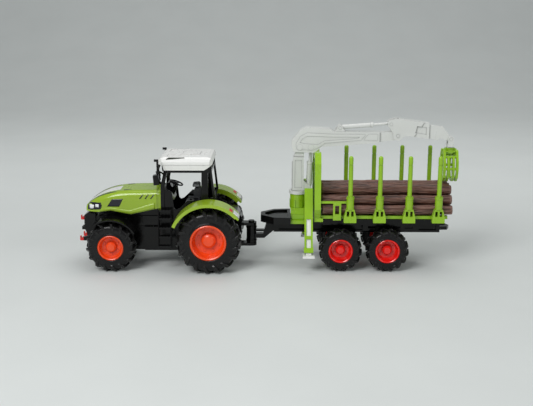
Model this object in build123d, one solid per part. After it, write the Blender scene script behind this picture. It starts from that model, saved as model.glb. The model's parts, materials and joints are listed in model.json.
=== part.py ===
"""Toy tractor with a hitched timber wagon and its grapple crane.

Millimetres. +Z is up, -X is the nose of the tractor, +X the tail of the wagon,
-Y the left side. The origin is on the ground under the middle of the toy.
"""

import os
from math import acos, atan2, cos, degrees, pi, radians, sin, sqrt, tan

from build123d import *

os.makedirs("parts", exist_ok=True)

# ---- driving dimensions: whole toy
FRONT_END = -217.5  # tips of the front hooks; the grapple ends the toy at +217.5
HITCH_X = -18.0  # yaw axis between tractor and wagon
SEAT_GAP = 0.02  # parts pushed together and left alone
RUN_GAP = 0.05  # radial clearance of a turning fit

# ---- tractor
REAR_AXLE = (-65.0, 37.0)
REAR_TYRE = dict(radius=37.0, rim=20.5, y0=30.0, y1=54.0, lugs=17, lug=2.4)
FRONT_AXLE = (-176.0, 28.5)
FRONT_TYRE = dict(radius=28.5, rim=14.6, y0=27.0, y1=46.0, lugs=15, lug=1.9)
KINGPIN_Y = 24.0
STEER_ARM = 9.0
TUB_HALF, TUB_NOSE_HALF = 17.0, 14.0
TUB_FLOOR, TUB_TOP = 18.0, 46.0
CAB_HALF = 28.0
CAB_FRONT, CAB_REAR = -120.0, -58.0
HOOD_HALF, HOOD_WALL = 24.0, 2.0
ROOF_UNDER, ROOF_TOP = 115.0, 129.6
WHEEL_HUB = (-104.8, 94.5)  # centre of the steering wheel
WHEEL_TILT = 20.0

STACK, STACK_SEAT = (-127.5, 13.5), 89.9  # exhaust stack and the flat it stands on

# ---- gear train
MODULE = 0.6
BIG, SMALL, PINION = 36, 12, 10
IDLER_X = REAR_AXLE[0] - MODULE * (BIG + SMALL) / 2
MOTOR_X = IDLER_X - MODULE * (BIG + PINION) / 2

# ---- wagon
WAGON_AXLES = (84.0, 137.0)
WAGON_TYRE = dict(radius=24.5, rim=13.8, y0=24.0, y1=42.0, lugs=16, lug=1.3)
BOLSTERS = (94.0, 127.0, 160.0, 193.0)
STAKE_Y, STAKE_R, STAKE_TOP = 35.0, 2.5, 133.0
BED_TOP = 63.4
LOG_R, LOG_PITCH, LOG_ENDS = 6.0, 12.4, (63.0, 210.0)

# ---- crane
SLEW_X = 36.0
BOOM_PIN = (37.8, 137.6)
LIFT_LOW, LIFT_HIGH = (48.5, 90.3), (50.3, 137.6)
JIB_PIN = (148.7, 150.9)
FOLD_LOW, FOLD_HIGH = (83.1, 159.7), (140.6, 164.1)
JIB_TIP = (209.0, 146.9)
CLAW_Y, CLAW_Z, CLAW_X_HALF = 5.0, 132.6, 8.5
LEG_LEAN = 17.0  # outrigger legs lean out by this much
LEG_TOP, LEG_FOOT = (22.0, 93.0), (43.3, 23.4)  # (y, z) of the leg axis


# ---------------------------------------------------------------- shape helpers
def block(x0, x1, y0, y1, z0, z1):
    return Pos((x0 + x1) / 2, (y0 + y1) / 2, (z0 + z1) / 2) * Box(x1 - x0, y1 - y0, z1 - z0)


def prism(points, y0, y1):
    """Side outline in (x, z), carried across from y0 to y1."""
    wire = Polyline(*[(x, y0, z) for x, z in points], close=True)
    return extrude(make_face(wire), amount=y1 - y0, dir=(0, 1, 0))


def slab(points, z0, z1):
    """Plan outline in (x, y), carried up from z0 to z1."""
    wire = Polyline(*[(x, y, z0) for x, y in points], close=True)
    return extrude(make_face(wire), amount=z1 - z0, dir=(0, 0, 1))


def panel(points, x0, x1):
    """End outline in (y, z), carried back from x0 to x1."""
    wire = Polyline(*[(x0, y, z) for y, z in points], close=True)
    return extrude(make_face(wire), amount=x1 - x0, dir=(1, 0, 0))


def rod(a, b, radius):
    """Round bar from point a to point b."""
    way = Vector(*b) - Vector(*a)
    return Plane(origin=a, z_dir=way) * Cylinder(
        radius, way.length, align=(Align.CENTER, Align.CENTER, Align.MIN)
    )


def across(x, z, radius, y0, y1):
    return rod((x, y0, z), (x, y1, z), radius)


def upright(x, y, radius, z0, z1):
    return rod((x, y, z0), (x, y, z1), radius)


def bent(points, radius):
    """Round bar through several points, with ball corners."""
    parts = [rod(a, b, radius) for a, b in zip(points, points[1:])]
    parts += [Pos(*p) * Sphere(radius) for p in points[1:-1]]
    return join(parts)


def join(parts):
    whole = parts[0]
    for part in parts[1:]:
        whole = whole + part
    return whole


def cut(whole, tools):
    for tool in tools:
        whole = whole - tool
    return whole


def turned(profile, x, z):
    """Ring whose section is (radius, y), turned about a cross axis at (x, z)."""
    face = make_face(Polyline(*[(r, y, 0) for r, y in profile], close=True))
    return Pos(x, 0, z) * revolve(face, axis=Axis.Y)


def other_side(part):
    return mirror(part, about=Plane.XZ)


def pair(part):
    return Compound([part.solid(), other_side(part).solid()])


def solids_of(parts):
    return Compound([s for part in parts for s in part.solids()])


def tongue(points, pin, radius, y0, y1):
    """Side outline joined with a round end about a pin."""
    return prism(points, y0, y1) + across(pin[0], pin[1], radius, y0, y1)


# ---------------------------------------------------------------- wheels
def tyre(x, z, radius, rim, y0, y1, lugs, lug):
    """Right-hand tyre: crowned carcass with slanted bars down both shoulders."""
    skin = radius - lug
    wide = y1 - y0
    half = [(rim + SEAT_GAP, 1.2), (rim + 1.8, 0.3), (rim + 0.45 * (skin - rim), 0.0)]
    half += [(skin - 3.2, 0.7), (skin - 1.0, 2.4), (skin, 5.0)]
    section = [(r, y0 + y) for r, y in half] + [(r, y1 - y) for r, y in reversed(half)]
    ring = turned(section, 0, 0)
    top = radius - 0.012 * radius
    bars = []
    for i in range(lugs):
        for side in (-1, 1):
            bar = Pos(0, side * wide * 0.235, (skin - 1.5 + top) / 2) * (
                Rot(0, 0, side * 38) * Box(radius * 0.085, wide * 0.56, top - skin + 1.5)
            )
            turn = 360 / lugs * (i + (0.5 if side > 0 else 0))
            bars.append(Pos(0, (y0 + y1) / 2, 0) * Rot(0, turn, 0) * bar)
    keep = turned([(rim + 4, y0 + 0.4), (radius, y0 + 0.4), (radius, y1 - 0.4), (rim + 4, y1 - 0.4)], 0, 0)
    tread = join([bar & keep for bar in bars[:2]])
    tread = [Rot(0, 360 / lugs * i, 0) * tread for i in range(lugs)]
    return Pos(x, 0, z) * ring.fuse(*[s for t in tread for s in t.solids()])


def rim(x, z, section, bolts, bolt_ring, bolt_y):
    """Right-hand rim: turned dish with a ring of bolt heads on its disc."""
    dish = turned(section, x, z)
    heads = []
    for i in range(bolts):
        turn = 2 * pi * (i + 0.5) / bolts
        heads.append(
            across(x + bolt_ring * cos(turn), z + bolt_ring * sin(turn), 1.05, bolt_y - 0.8, bolt_y + 1.1)
        )
    return dish.fuse(*heads)


def rear_rim():
    section = [(20.5, 31), (20.5, 53), (19.3, 53.7), (18.2, 53), (17.2, 44.5), (15.5, 42.4)]
    section += [(8.6, 41.4), (8.0, 45), (5.5, 46.8), (0, 47), (0, 45.2), (2.0 + SEAT_GAP, 45.2)]
    section += [(2.0 + SEAT_GAP, 34.5), (5.5, 34.5), (6.4, 38.8), (14.5, 39.8), (18.3, 41.6), (18.3, 31)]
    return rim(*REAR_AXLE, section, 8, 12.2, 41.9)


def front_rim():
    bore = 1.8 + RUN_GAP
    section = [(14.6, 28), (14.6, 45), (13.7, 45.6), (12.8, 45), (12.0, 40), (10.6, 38.6)]
    section += [(6.2, 38.0), (5.7, 41.6), (4.0, 43.4), (0, 43.6), (0, 42.6), (bore, 42.6)]
    section += [(bore, 35.6), (4.4, 35.6), (5.0, 36.4), (10.0, 36.8), (13.1, 38.2), (13.1, 28)]
    return rim(*FRONT_AXLE, section, 6, 8.4, 38.3)


def wagon_rim(x):
    section = [(13.8, 24.8), (13.8, 41), (12.9, 41.7), (12.0, 41), (11.2, 34), (9.8, 32.6)]
    section += [(5.6, 32), (5.2, 36), (3.6, 37.8), (0, 38), (0, 36.2), (2.0 + SEAT_GAP, 36.2)]
    section += [(2.0 + SEAT_GAP, 28), (4.0, 28), (4.6, 30.2), (9.2, 30.8), (12.2, 32.4), (12.2, 24.8)]
    return rim(x, WAGON_TYRE["radius"], section, 6, 7.7, 32.3)


# ---------------------------------------------------------------- gears
def gear(x, z, teeth, y0, y1, first, addendum):
    """Spur gear across the toy; 'first' is the angle of one tooth, from +X up."""
    pitch = MODULE * teeth / 2
    base, root, tip = pitch * cos(radians(20)), pitch - 1.25 * MODULE, pitch + addendum * MODULE
    swell = tan(radians(20)) - radians(20)

    def half_width(r):
        lean = acos(min(1, base / r))
        return pi / (2 * teeth) - 0.07 / pitch + swell - (tan(lean) - lean)

    steps = [root, max(base, root + 0.02), (max(base, root) + tip) / 2, tip]
    outline = []
    for i in range(teeth):
        mid = radians(first) + 2 * pi * i / teeth
        flank = [(r, -half_width(r)) for r in steps]
        flank += [(r, half_width(r)) for r in reversed(steps)]
        outline += [(x + r * cos(mid + a), z + r * sin(mid + a)) for r, a in flank]
    return prism(outline, y0, y1)


def axle_gear():
    wheel = gear(*REAR_AXLE, BIG, 1.2, 5.2, 0, 0.62)
    wheel += across(*REAR_AXLE, 4.5, 0.6, 8.0)
    return wheel - across(*REAR_AXLE, 2.0 + SEAT_GAP, 0, 9)


def idler_gear():
    z = REAR_AXLE[1]
    big = gear(IDLER_X, z, BIG, -5.4, -1.8, 0, 0.62)
    small = gear(IDLER_X, z, SMALL, -1.8, 5.6, 15, 1.0)
    return join([big, small, across(IDLER_X, z, 1.25, -16.6, 16.6)])


def motor_pinion():
    z = REAR_AXLE[1]
    return gear(MOTOR_X, z, PINION, -5.6, -1.6, 18, 1.0) + across(MOTOR_X, z, 0.75, -6.2, 3.0)


def drive_motor():
    z = REAR_AXLE[1]
    can = across(MOTOR_X, z, 7.0, 0.4, 13.6) + across(MOTOR_X, z, 2.6, -0.8, 0.5)
    can += across(MOTOR_X, z, 3.0, 13.6, 14.6)
    can = cut(can, [block(MOTOR_X - 8, MOTOR_X + 8, -1, 15, z + 5.6, z + 9)])
    tags = [block(MOTOR_X + s - 0.8, MOTOR_X + s + 0.8, 12, 14.6, z + 4.4, z + 6.4) for s in (-3, 3)]
    return join([can] + tags) - across(MOTOR_X, z, 0.75 + RUN_GAP, -1, 3.2)


# ---------------------------------------------------------------- tractor chassis
def chassis_tub():
    """Open-topped moulded tub: raised nose plate, wide rear box with the gear bay."""
    side = [(-198, 34), (-164, 34), (-157, TUB_FLOOR), (-42, TUB_FLOOR), (-42, TUB_TOP), (-198, TUB_TOP)]
    rear = [(-141, TUB_FLOOR), (-42, TUB_FLOOR), (-42, TUB_TOP), (-141, TUB_TOP)]
    tub = prism(side, -TUB_NOSE_HALF, TUB_NOSE_HALF) + prism(rear, -TUB_HALF, TUB_HALF)
    floor = TUB_FLOOR + 2.4
    tub = cut(
        tub,
        [
            block(-196, -158, -12, 12, 37, 50),
            block(-154, -138, -12, 12, floor, 50),
            block(-139, -44, -15, 15, floor, 50),
            block(-151.5, -102.5, -13.5, 13.5, 17, TUB_FLOOR + 1.4),
            block(-150, -104, -12, 12, 17, 22),
            block(-56, -46, -2.2, 2.2, 17, 22),
        ],
    )
    posts = [upright(x, s * 13.3, 1.6, floor - 1, 36) for x in (-136.5, -106) for s in (-1, 1)]
    z = REAR_AXLE[1]
    cradle = block(MOTOR_X - 8.5, MOTOR_X + 8.5, 2, 12, floor - 1, 31)
    bosses = []
    for s in (-1, 1):
        low, high = sorted((s * 13.5, s * 18.6))
        bosses.append(across(*REAR_AXLE, 5.5, low, high))
        low, high = sorted((s * 13.5, s * 17.6))
        bosses.append(across(IDLER_X, z, 3.4, low, high))
    ribs = [block(x, x + 1.6, -16, 16, floor - 1, 25) for x in (-100.8, -47.5)]
    ribs = [r - block(-60, -40, -5, 5, 19, 26) for r in ribs]
    tub = join([tub, cradle] + posts + bosses + ribs)
    return cut(
        tub,
        [
            across(MOTOR_X, z, 7.0 + SEAT_GAP, -1, 15),
            across(*REAR_AXLE, 2.0 + RUN_GAP, -20, 20),
            across(IDLER_X, z, 1.25 + RUN_GAP, -16.8, 16.8),
        ],
    )


def engine_block():
    """Engine casting under the hood: sump, ribbed crankcase and rocker covers."""
    low = block(-197, -120.6, -13, 13, TUB_TOP, 58)
    mid = block(-194, -121, -11, 11, 58, 70)
    ribs = []
    for i in range(7):
        x = -190 + 7.4 * i
        ribs.append(block(x, x + 2.2, -14.5, 14.5, 49, 57))
    filters = [upright(-163, s * 13.4, 2.4, 47, 56) for s in (-1, 1)]
    return join([low, mid] + ribs + filters)


def hood_form(inset):
    """Closed hood volume, drawn in by 'inset' all round, running below its skirt."""
    stations = [
        (-120, 24.0, 90.2, 7.0),
        (-134, 24.0, 90.2, 7.0),
        (-150, 24.0, 89.8, 7.0),
        (-168, 23.8, 88.6, 7.0),
        (-180, 23.2, 86.2, 7.0),
        (-191, 21.6, 82.2, 6.8),
        (-200, 18.8, 77.0, 6.4),
        (-207.6, 14.2, 70.8, 5.2),
    ]
    faces = []
    for x, half, top, corner in stations:
        w, t, r = half - inset, top - inset, corner - 0.4 * inset
        shift = inset if x < -207 else 0
        x = x + shift
        line = [
            Line((x, -w, 56), (x, -w, t - r)),
            ThreePointArc((x, -w, t - r), (x, -w + r * 0.293, t - r * 0.293), (x, -w + r, t)),
            Line((x, -w + r, t), (x, w - r, t)),
            ThreePointArc((x, w - r, t), (x, w - r * 0.293, t - r * 0.293), (x, w, t - r)),
            Line((x, w, t - r), (x, w, 56)),
            Line((x, w, 56), (x, -w, 56)),
        ]
        faces.append(make_face(line))
    return loft(faces)


SKIRT = [(-119, 69.8), (-125, 69.3), (-155, 62.8), (-166, 64.6), (-178, 67), (-192, 64.6), (-212, 64.6)]


def lamp_boxes():
    boxes = []
    for s in (-1, 1):
        low, high = sorted((s * 12.5, s * 30))
        boxes.append(block(-203.5, -197.6, low, high, 67.8, 72.8))
        boxes.append(block(-196.2, -191.2, low, high, 69.4, 74.2))
    return boxes


def hood():
    """Thin hood shell with a seam groove, lamp openings and two screw pillars."""
    shell = hood_form(0) - (hood_form(HOOD_WALL) - block(-130, -110, -30, 30, 50, 56.5))
    below = prism(SKIRT + [(-212, 40), (-119, 40)], -30, 30)
    shell = shell - below
    groove = block(-125, -122.6, -30, 30, 60, 100) - (hood_form(0.7) & block(-128, -119, -30, 30, 50, 100))
    shell = cut(shell, [groove] + lamp_boxes())
    pillars = [upright(x, 0, 3.2, 70, 95) & hood_form(0.5) for x in (-178, -140)]
    return join([shell] + pillars) - upright(*STACK, 3.6, STACK_SEAT, 98)


def lamp_lenses():
    """Clear headlamp blocks that carry on the hood's outer surface."""
    skin = hood_form(0) - hood_form(HOOD_WALL)
    return solids_of([box & skin for box in lamp_boxes()])


def front_weight():
    """Ballast block with the front linkage arms and a towing lug."""
    side = [(-198, 36), (-198, 60), (-206, 62), (-210.5, 59), (-211.5, 44), (-208, 36)]
    mass = prism(side, -13.5, 13.5)
    arms = []
    for s in (-1, 1):
        low, high = sorted((s * 8.0, s * 11.0))
        arm = [(-200, 38), (-200, 31), (-207, 27.5), (-213.5, 27.5), (-213.5, 32), (-208, 33), (-206, 38)]
        arms.append(prism(arm, low, high))
    lug = block(-216.2, -209, -4.2, 4.2, 39, 42.5)
    post = block(-213.5, -208.5, -3, 3, 50.5, 54)
    whole = join([mass, lug, post] + arms)
    grooves = [block(-212, -209.6, -14, 14, z, z + 0.9) for z in (47.5, 56.0)]
    return cut(whole, grooves + [upright(-213.4, 0, 1.6, 38, 43)])


def front_hooks():
    """Red catch hooks: one on each lower arm and one on the upper link."""

    def hook(x, y, z, lift):
        outline = [(x, z), (x, z + 4.2), (x - 1.2, z + 4.2), (x - 1.2, z + 3.0), (x - 2.6, z + 3.0)]
        outline += [(x - 2.6, z + 4.6 + lift), (FRONT_END, z + 4.6 + lift), (FRONT_END, z + 0.4), (x - 2.8, z)]
        return prism(outline, y - 1.6, y + 1.6)

    return solids_of([hook(-213.5, -9.5, 27.6, 0.6), hook(-213.5, 9.5, 27.6, 0.6), hook(-213.5, 0, 50.2, 0.6)])


def front_axle_beam():
    beam = block(-181, -171, -20, 20, 24, 33) + block(-181, -171, -10, 10, 33, 34)
    ends = [upright(-176, s * KINGPIN_Y, 4.2, 24, 33) for s in (-1, 1)]
    webs = [block(-180, -172, *sorted((s * 19, s * 24)), 24, 33) for s in (-1, 1)]
    beam = join([beam] + ends + webs)
    bores = [upright(-176, s * KINGPIN_Y, 1.95 + RUN_GAP, 23, 34) for s in (-1, 1)]
    return cut(beam, bores + [block(-182, -178.6, -17, 17, 26, 31), block(-173.4, -170, -17, 17, 26, 31)])


def knuckle():
    """Right-hand steering knuckle: kingpin fork, stub axle, steering arm, mudguard."""
    x, z = FRONT_AXLE
    y = KINGPIN_Y
    fork = [upright(x, y, 1.95, 21.5, 35.5), block(x - 4, x + 4, 28.6, 31, 21, 36)]
    for z0, z1 in ((21, 23.7), (33.3, 36)):
        fork += [upright(x, y, 4.0, z0, z1), block(x - 4, x + 4, y, 31, z0, z1)]
    arm = [block(x, x + STEER_ARM, y - 1.8, y + 1.8, 21, 23.7), upright(x + STEER_ARM, y, 1.8, 21, 23.7)]
    arm += [upright(x + STEER_ARM, y, 1.0, 23, 27.2)]
    strap = [block(x - 3, x + 3, 25.0, 26.5, 35, 60)]
    sweep = []
    for r in (32.6, 31.0):
        points = [(x + r * cos(radians(a)), z + r * sin(radians(a))) for a in range(32, 132, 6)]
        sweep += points if r > 32 else list(reversed(points))
    guard = prism(sweep, 25.0, 45.0)
    return join(fork + arm + [across(x, z, 1.8, 30, 42.2)] + strap + [guard])


def tie_rod():
    """Bar under the nose; its end slots ride on the knuckle pins."""
    x = FRONT_AXLE[0] + STEER_ARM
    bar = block(x - 1.6, x + 1.6, -KINGPIN_Y, KINGPIN_Y, 24.0, 26.2)
    ends = [upright(x, s * KINGPIN_Y, 2.2, 24.0, 26.2) for s in (-1, 1)]
    slots = []
    for s in (-1, 1):
        slots.append(block(x - 0.75, x + 0.35, s * KINGPIN_Y - 1.12, s * KINGPIN_Y + 1.12, 23, 27))
        slots += [upright(x + d, s * KINGPIN_Y, 1.12, 23, 27) for d in (-0.75, 0.35)]
    return cut(join([bar] + ends), slots)


def battery_door():
    door = block(-151.3, -102.7, -13.3, 13.3, TUB_FLOOR, TUB_FLOOR + 1.4)
    ribs = [block(-149 + 4 * i, -147.6 + 4 * i, -9, 9, TUB_FLOOR - 0.5, TUB_FLOOR + 0.2) for i in range(5)]
    return join([door] + ribs) - upright(-105.6, 0, 1.1, 17, 20)


def battery_pack():
    cells = [rod((-148.6, s * 5.8, 25.2), (-106, s * 5.8, 25.2), 5.6) for s in (-1, 1)]
    wrap = block(-147, -107.6, -5.4, 5.4, TUB_FLOOR + 1.4, 29.6)
    return join(cells + [wrap, block(-106.5, -105.2, -8, 8, 21, 29)])


def circuit_board():
    board = block(-138.6, -104, -14.6, 14.6, 36, 37.6)
    chips = [block(-134, -125, -6, 4, 37.6, 39.6), block(-119, -113, -10, -3, 37.6, 39.2)]
    chips += [upright(-110, 7, 2.6, 37.6, 42.4), upright(-117, 7, 2.0, 37.6, 41.6)]
    chips += [block(-138, -134.5, 6, 13, 37.6, 41.2)]
    return join([board] + chips)


def power_switch():
    thumb = block(-55.8, -50.8, -2.0, 2.0, 16.6, 21)
    ribs = [block(x, x + 0.6, -2.0, 2.0, 16.2, 16.8) for x in (-55.2, -53.6, -52.0)]
    return join([thumb, block(-57.4, -49.2, -4, 4, 20.45, 22)] + ribs)


def chassis_screws():
    heads = []
    for x, y in ((-98, 11), (-98, -11), (-60, 12), (-60, -12), (-176, 0)):
        z = TUB_FLOOR if x > -160 else 24.0
        head = upright(x, y, 2.3, z - 1.2, z)
        for wide, deep in ((2.8, 0.6), (0.6, 2.8)):
            head -= block(x - wide / 2, x + wide / 2, y - deep / 2, y + deep / 2, z - 1.3, z - 0.5)
        heads.append(head)
    return solids_of(heads)


def rear_axle_shaft():
    return across(*REAR_AXLE, 2.0, -45, 45)


def rear_hitch():
    """Rear housing with the curved tail plate and a jaw that holds the drawbar pin."""
    side = [(-42, 21), (-34, 21), (-31, 26), (-31, 58), (-34, 64), (-42, 65)]
    body = prism(side, -14, 14)
    tail = prism([(-31, 37), (-29, 39), (-29, 56), (-31, 59)], -9, 9)
    plates = []
    for z0, z1 in ((20.4, 23.6), (44.9, 48.0)):
        plates.append(block(-33, HITCH_X, -6, 6, z0, z1) + upright(HITCH_X, 0, 6, z0, z1))
    pin = upright(HITCH_X, 0, 2.0, 20, 49) + upright(HITCH_X, 0, 3.4, 48, 50)
    outlet = [rod((-29, s * 5, 52), (-27.4, s * 5, 52), 1.8) for s in (-1, 1)]
    return join([body, tail, pin] + plates + outlet)


# ---------------------------------------------------------------- cab
def cab_body():
    """Floor, side walls, bulkheads, console and seat plinth in one moulding."""
    side = [(-120, 46), (-120, 70), (-115.2, 70), (-115.2, 92.6), (-109.4, 91.6), (-106.8, 89), (-104.8, 71)]
    side += [(-102.6, 69), (-99, 70.5), (-89, 80), (CAB_REAR, 80), (CAB_REAR, 46)]
    walls = [prism(side, *sorted((s * (CAB_HALF - 2.2), s * CAB_HALF))) for s in (-1, 1)]
    floor = block(-120, CAB_REAR, -CAB_HALF, CAB_HALF, 46, 52)
    floor -= block(-98, -46, -14.6, 14.6, 45, 50)
    fore = block(-120, -117.5, -22, 22, 52, 89.6) + block(-120, -117.5, -CAB_HALF, CAB_HALF, 52, 70)
    aft = block(CAB_REAR - 2.2, CAB_REAR, -CAB_HALF, CAB_HALF, 52, 80)
    aft += block(CAB_REAR - 2.2, CAB_REAR, -25.2, 25.2, 79, 83)
    console = prism([(-118, 52), (-118, 91), (-113, 91), (-108.5, 84), (-107, 76), (-108, 52)], -21, 21)
    binnacle = prism([(-116, 91), (-114, 96), (-111, 95), (-108.5, 87), (-112, 88)], -7, 7)
    plinth = block(-92, -77, -8.5, 8.5, 52, 68)
    side_box = block(-90, -72, -24, -13, 52, 72) + rod((-84, -18, 71), (-87, -18, 80), 1.2)
    n = (sin(radians(WHEEL_TILT)), cos(radians(WHEEL_TILT)))
    low = (WHEEL_HUB[0] - 18 * n[0], 0, WHEEL_HUB[1] - 18 * n[1])
    high = (WHEEL_HUB[0] - 3.2 * n[0], 0, WHEEL_HUB[1] - 3.2 * n[1])
    column = rod(low, high, 2.3)
    well = rod((WHEEL_HUB[0] - 12 * n[0], 0, WHEEL_HUB[1] - 12 * n[1]), (WHEEL_HUB[0], 0, WHEEL_HUB[1]), 1.25)
    tail = [block(CAB_REAR, -42.5, *sorted((s * 15.5, s * 24)), 46, 62) for s in (-1, 1)]
    body = join(walls + [floor, fore, aft, console, binnacle, plinth, side_box, column] + tail)
    steps = [block(-110.5, -109.5, -18, 18, z, z + 1.2) for z in (57, 62, 67)]
    return cut(join([body] + steps), [well])


def cab_frame():
    """Pillars and roof ring, left open with no glass."""
    posts = []
    for s in (-1, 1):
        low, high = sorted((s * (CAB_HALF - 2.6), s * CAB_HALF))
        fore = [(-115.4, 115), (-111.2, 115), (-115.4, 96), (-115.8, 70.4), (-119.9, 70.6), (-119.6, 96)]
        posts.append(prism(fore, low, high))
        posts.append(prism([(-73, 115), (-66, 115), (-66, 80), (-74, 80)], low, high))
        posts.append(prism([(-64, 115), (-61.6, 115), (CAB_REAR, 83), (CAB_REAR - 2.6, 83)], low, high))
        posts.append(block(-115.4, -61.6, low, high, 112, 115))
        posts.append(block(-74, CAB_REAR, low, high, 80, 83))
        posts.append(prism([(-69.8, 114.5), (-61.6, 114.5), (-61.6, 120.8), (-66.4, 117.0)], low, high))
    bars = [block(-115.3, -112, -27, 27, 112, 115), block(-65, -61.7, -27, 27, 112, 115)]
    return join(posts + bars)


def cab_roof():
    """White roof cap, hollow below, with a raised hatch and a notch in each upper edge."""
    side = [(-115.3, ROOF_UNDER), (-116.4, 120.4), (-123, 121.6), (-122.6, 124.6), (-120.0, 127.8)]
    side += [(-115.4, ROOF_TOP), (-66, ROOF_TOP), (-62.4, 128.4), (-60.4, 125.4), (-60.8, 121.6)]
    side += [(-66.5, 117.2), (-70.2, ROOF_UNDER)]
    cap = prism(side, -30.5, 30.5)
    crown = [(-29.4, 114), (29.4, 114), (30.5, 121), (30.5, 124.6), (29.4, 127.6), (26, ROOF_TOP)]
    crown += [(-26, ROOF_TOP), (-29.4, 127.6), (-30.5, 124.6), (-30.5, 121)]
    cap = cap & panel(crown, -124, -59)
    plan = [(-123, -23), (-117, -30.5), (-64, -30.5), (-60.4, -27), (-60.4, 27), (-64, 30.5), (-117, 30.5), (-123, 23)]
    cap = cap & slab(plan, 114, 131)
    roof = cap - block(-113.0, -70.8, -26.2, 26.2, 114, 126.2)
    hatch = block(-98, -76, -11, 11, ROOF_TOP - 0.4, ROOF_TOP + 0.7)
    hatch -= block(-96, -78, -9, 9, ROOF_TOP + 0.2, ROOF_TOP + 1)
    notch = [(-112.8, 126.9), (-109.6, 131), (-91.6, 131), (-91.6, 128.5)]
    slots = [prism(notch, *sorted((s * 27.2, s * 33))) for s in (-1, 1)]
    louvres = [block(-112.5, -104, s * 15 - 7, s * 15 + 7, ROOF_TOP - 0.6, 131) for s in (-1, 1)]
    line = [block(-124, -58, *sorted((s * 30.0, s * 32)), 120.9, 121.5) for s in (-1, 1)]
    return cut(roof + hatch, louvres + slots + line)


def driver_seat():
    """Cushion, backrest and headrest of the driver's seat."""
    cushion = prism([(-94, 68), (-94, 73), (-92, 74.6), (-79, 73.6), (-77, 68)], -9.5, 9.5)
    back = prism([(-83.4, 71), (-84.6, 86), (-82.6, 90), (-77.4, 90), (-74.6, 72), (-76, 68), (-82, 68)], -8.5, 8.5)
    head = prism([(-85.4, 91), (-85.0, 94.2), (-79, 94.8), (-77.2, 93.4), (-77.2, 91)], -6.5, 6.5)
    arms = []
    for s in (-1, 1):
        low, high = sorted((s * 9.5, s * 11.6))
        arms.append(prism([(-90, 79), (-90, 81), (-77, 81), (-76, 74), (-78.5, 74), (-79, 79)], low, high))
        arms.append(block(-78.4, -76.6, *sorted((s * 8, s * 10)), 74.2, 78))
    neck = block(-82.4, -78.6, -3, 3, 89.4, 91.6)
    return join([cushion, back, head, neck] + arms)


def steering_wheel():
    n = Vector(sin(radians(WHEEL_TILT)), 0, cos(radians(WHEEL_TILT)))
    hub = Vector(WHEEL_HUB[0], 0, WHEEL_HUB[1])
    place = Plane(origin=hub, z_dir=n, x_dir=Vector(0, 1, 0))
    parts = [Torus(7.5, 0.85), Cylinder(2.0, 2.0)]
    for i in range(3):
        parts.append(Rot(0, 0, 120 * i + 90) * Pos(4, 0, 0) * Box(7.2, 1.5, 1.0))
    parts.append(Pos(0, 0, -6) * Cylinder(1.2, 11.0))
    return place * join(parts)


def fender():
    """Right-hand rear fender: arched top skin with an inner cheek on the cab wall."""
    x, z = REAR_AXLE

    def arc(r, a0, a1, step=4):
        turns = range(a0, a1 + 1, step) if a1 > a0 else range(a0, a1 - 1, -step)
        return [(x + r * cos(radians(a)), z + r * sin(radians(a))) for a in turns]

    skin = prism(arc(44.5, 43, 155) + arc(42.3, 155, 43), CAB_HALF, 53.5)
    cheek = prism(arc(44.5, 43, 155) + arc(39.0, 155, 43), CAB_HALF, 29.5)
    lip = prism(arc(44.5, 43, 155) + arc(40.9, 155, 43), 52.3, 53.5)
    tail = prism([(-34.4, 65.6), (-32.3, 67.6), (-30.4, 64.4), (-31.8, 63.2)], CAB_HALF, 53.5)
    return join([skin, cheek, lip, tail])


def mirror_arm():
    """Right-hand mirror: foot on the front pillar, bent arm with a marker lamp, upright head."""
    foot = block(-116.4, -112.6, CAB_HALF, CAB_HALF + 1.4, 107, 112)
    arm = bent([(-114.5, CAB_HALF + 1, 109.5), (-117, 34, 113.4), (-121, 37.4, 115)], 0.9)
    post = bent([(-121, 37.4, 110), (-121, 37.4, 127)], 1.2)
    lamp = block(-124.6, -119.8, 36.0, 38.8, 126.6, 129.0)
    head = prism([(-125.4, 100.4), (-126.2, 111.2), (-120.2, 112.2), (-119.2, 101.0)], 34.2, 41.0)
    glass = prism([(-119.8, 102.2), (-120.6, 110.8), (-117, 110.8), (-117, 102.2)], 35.2, 40.0)
    return join([foot, arm, post, lamp, head]) - glass


def exhaust_stack():
    """Short exhaust by the right front pillar, its tail pipe turned outwards."""
    x, y = STACK
    parts = [upright(x, y, 3.4, STACK_SEAT, 92.4), upright(x, y, 1.9, STACK_SEAT, 97), upright(x, y, 2.7, 94.4, 105)]
    parts += [bent([(x, y, 104), (x, y, 108), (x + 0.6, y + 2.6, 110.4), (x + 0.8, y + 6.4, 111)], 1.5)]
    parts += [upright(x, y, 3.0, z, z + 0.9) for z in (95.4, 99.8, 104)]
    return join(parts) - rod((x + 0.7, y + 4.4, 110.9), (x + 0.9, y + 7.4, 111.2), 1.0)


def step_ladder():
    """Right-hand cab steps hung from the cab wall."""
    parts = []
    for x0, x1 in ((-122.4, -120.9), (-108.4, -106.9)):
        outline = [(CAB_HALF, 47), (CAB_HALF, 71), (35, 71), (42.5, 29), (42.5, 27.6), (36, 27.6), (33.5, 44)]
        parts.append(panel(outline, x0, x1))
    for z, y0, y1 in ((69.4, CAB_HALF, 35.2), (60.4, 29, 36.8), (50, 30.5, 38.6), (40, 34.4, 40.4), (29.4, 36, 42.4)):
        tread = block(-122, -107, y0, y1, z - 0.9, z + 0.9)
        teeth = [block(-119.6 + 3.4 * i, -118.2 + 3.4 * i, y0, y1, z + 0.5, z + 1.4) for i in range(4)]
        parts += [tread] + teeth
    lug = block(-120, -109, CAB_HALF, CAB_HALF + 3, 48, 51.2)
    return join(parts + [lug])


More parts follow.
